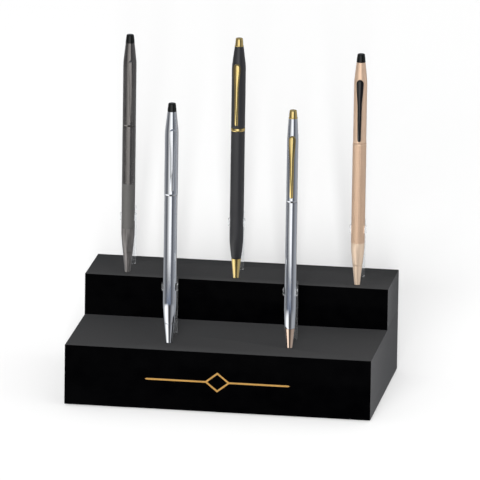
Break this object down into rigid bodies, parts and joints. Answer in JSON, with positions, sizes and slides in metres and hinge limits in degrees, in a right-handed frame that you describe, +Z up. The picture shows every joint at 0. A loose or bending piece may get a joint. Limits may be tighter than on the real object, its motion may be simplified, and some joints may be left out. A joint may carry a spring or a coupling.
{
  "type": "pen display stand",
  "caption": "Two-step black display stand with slim twist ballpoint pens standing upright in clear holders, each lifting out and twisting to feed its refill.",
  "frame": {"origin": "on the table under the middle of the stand's footprint, which is the middle of the bounding box's bottom", "axes": "+Z up along the pens; +Y from the front face to the back, so the front faces -Y; +X to the right seen from the front"},
  "size_m": [0.167, 0.107, 0.1911],
  "materials": {
    "black_shell": "satin black, crisp edges",
    "black_plate": "fine-textured black",
    "rubber": "matt",
    "screw_steel": "zinc plated",
    "clear_acrylic": "clear, polished",
    "brass": "turned",
    "refill_steel": "drawn tube",
    "graphite_lacquer": "satin gunmetal grey",
    "chrome_plate": "polished",
    "gold_plate": "polished gold plate",
    "satin_black": "satin black lacquer",
    "gloss_black": "gloss black",
    "rose_gold_plate": "satin rose gold with an engraved lattice on the barrel"
  },
  "bodies": {
    "root": {"lower_step": "black_shell", "upper_step": "black_shell", "base_plate": "black_plate", "front_inlay": "gold_plate", "front_left_foot": "rubber", "front_left_plate_screw": "screw_steel", "front_right_foot": "rubber", "front_right_plate_screw": "screw_steel", "back_left_foot": "rubber", "back_left_plate_screw": "screw_steel", "back_right_foot": "rubber", "back_right_plate_screw": "screw_steel", "left_step_screw": "screw_steel", "right_step_screw": "screw_steel", "graphite_pen_holder": "clear_acrylic", "chrome_pen_holder": "clear_acrylic", "black_pen_holder": "clear_acrylic", "two_tone_pen_holder": "clear_acrylic", "rose_gold_pen_holder": "clear_acrylic"},
    "graphite_pen": {"graphite_pen_barrel": "graphite_lacquer", "graphite_pen_nose_cone": "graphite_lacquer"},
    "graphite_pen_top": {"graphite_pen_cap": "graphite_lacquer", "graphite_pen_clip": "graphite_lacquer", "graphite_pen_finial": "gloss_black", "graphite_pen_twist_mechanism": "brass"},
    "graphite_pen_ink": {"graphite_pen_refill": "refill_steel"},
    "chrome_pen": {"chrome_pen_barrel": "chrome_plate", "chrome_pen_nose_cone": "chrome_plate"},
    "chrome_pen_top": {"chrome_pen_cap": "chrome_plate", "chrome_pen_clip": "chrome_plate", "chrome_pen_finial": "gloss_black", "chrome_pen_twist_mechanism": "brass"},
    "chrome_pen_ink": {"chrome_pen_refill": "refill_steel"},
    "black_pen": {"black_pen_barrel": "satin_black", "black_pen_nose_cone": "gold_plate"},
    "black_pen_top": {"black_pen_cap": "satin_black", "black_pen_clip": "gold_plate", "black_pen_finial": "gold_plate", "black_pen_twist_mechanism": "brass", "black_pen_centre_ring": "gold_plate"},
    "black_pen_ink": {"black_pen_refill": "refill_steel"},
    "two_tone_pen": {"two_tone_pen_barrel": "chrome_plate", "two_tone_pen_nose_cone": "gold_plate"},
    "two_tone_pen_top": {"two_tone_pen_cap": "chrome_plate", "two_tone_pen_clip": "gold_plate", "two_tone_pen_finial": "gold_plate", "two_tone_pen_twist_mechanism": "brass"},
    "two_tone_pen_ink": {"two_tone_pen_refill": "refill_steel"},
    "rose_gold_pen": {"rose_gold_pen_barrel": "rose_gold_plate", "rose_gold_pen_nose_cone": "rose_gold_plate"},
    "rose_gold_pen_top": {"rose_gold_pen_cap": "rose_gold_plate", "rose_gold_pen_clip": "gloss_black", "rose_gold_pen_finial": "gloss_black", "rose_gold_pen_twist_mechanism": "brass"},
    "rose_gold_pen_ink": {"rose_gold_pen_refill": "refill_steel"}
  },
  "joints": [
    {"name": "graphite_pen_lift", "type": "slide", "parent": "root", "child": "graphite_pen", "axis": [0, 0, 1], "range_m": [0, 0.045]},
    {"name": "graphite_pen_twist", "type": "hinge", "parent": "graphite_pen", "child": "graphite_pen_top", "pos_m": [-0.0615, 0.0198, 0.057], "axis": [0, 0, -1], "range_deg": [0, 180]},
    {"name": "graphite_pen_refill_feed", "type": "slide", "parent": "graphite_pen", "child": "graphite_pen_ink", "axis": [0, 0, -1], "range_m": [0, 0.003]},
    {"name": "chrome_pen_lift", "type": "slide", "parent": "root", "child": "chrome_pen", "axis": [0, 0, 1], "range_m": [0, 0.045]},
    {"name": "chrome_pen_twist", "type": "hinge", "parent": "chrome_pen", "child": "chrome_pen_top", "pos_m": [-0.0291, -0.037, 0.034], "axis": [0, 0, -1], "range_deg": [0, 180]},
    {"name": "chrome_pen_refill_feed", "type": "slide", "parent": "chrome_pen", "child": "chrome_pen_ink", "axis": [0, 0, -1], "range_m": [0, 0.003]},
    {"name": "black_pen_lift", "type": "slide", "parent": "root", "child": "black_pen", "axis": [0, 0, 1], "range_m": [0, 0.045]},
    {"name": "black_pen_twist", "type": "hinge", "parent": "black_pen", "child": "black_pen_top", "pos_m": [-0.0016, 0.0196, 0.057], "axis": [0, 0, -1], "range_deg": [0, 180]},
    {"name": "black_pen_refill_feed", "type": "slide", "parent": "black_pen", "child": "black_pen_ink", "axis": [0, 0, -1], "range_m": [0, 0.003]},
    {"name": "two_tone_pen_lift", "type": "slide", "parent": "root", "child": "two_tone_pen", "axis": [0, 0, 1], "range_m": [0, 0.045]},
    {"name": "two_tone_pen_twist", "type": "hinge", "parent": "two_tone_pen", "child": "two_tone_pen_top", "pos_m": [0.0362, -0.034, 0.034], "axis": [0, 0, -1], "range_deg": [0, 180]},
    {"name": "two_tone_pen_refill_feed", "type": "slide", "parent": "two_tone_pen", "child": "two_tone_pen_ink", "axis": [0, 0, -1], "range_m": [0, 0.003]},
    {"name": "rose_gold_pen_lift", "type": "slide", "parent": "root", "child": "rose_gold_pen", "axis": [0, 0, 1], "range_m": [0, 0.045]},
    {"name": "rose_gold_pen_twist", "type": "hinge", "parent": "rose_gold_pen", "child": "rose_gold_pen_top", "pos_m": [0.0653, 0.0185, 0.057], "axis": [0, 0, -1], "range_deg": [0, 180]},
    {"name": "rose_gold_pen_refill_feed", "type": "slide", "parent": "rose_gold_pen", "child": "rose_gold_pen_ink", "axis": [0, 0, -1], "range_m": [0, 0.003]}
  ],
  "couplings": [
    {"joint": "graphite_pen_refill_feed", "follows": "graphite_pen_twist", "m_per_rad": 0.00095},
    {"joint": "chrome_pen_refill_feed", "follows": "chrome_pen_twist", "m_per_rad": 0.00095},
    {"joint": "black_pen_refill_feed", "follows": "black_pen_twist", "m_per_rad": 0.00095},
    {"joint": "two_tone_pen_refill_feed", "follows": "two_tone_pen_twist", "m_per_rad": 0.00095},
    {"joint": "rose_gold_pen_refill_feed", "follows": "rose_gold_pen_twist", "m_per_rad": 0.00095}
  ]
}
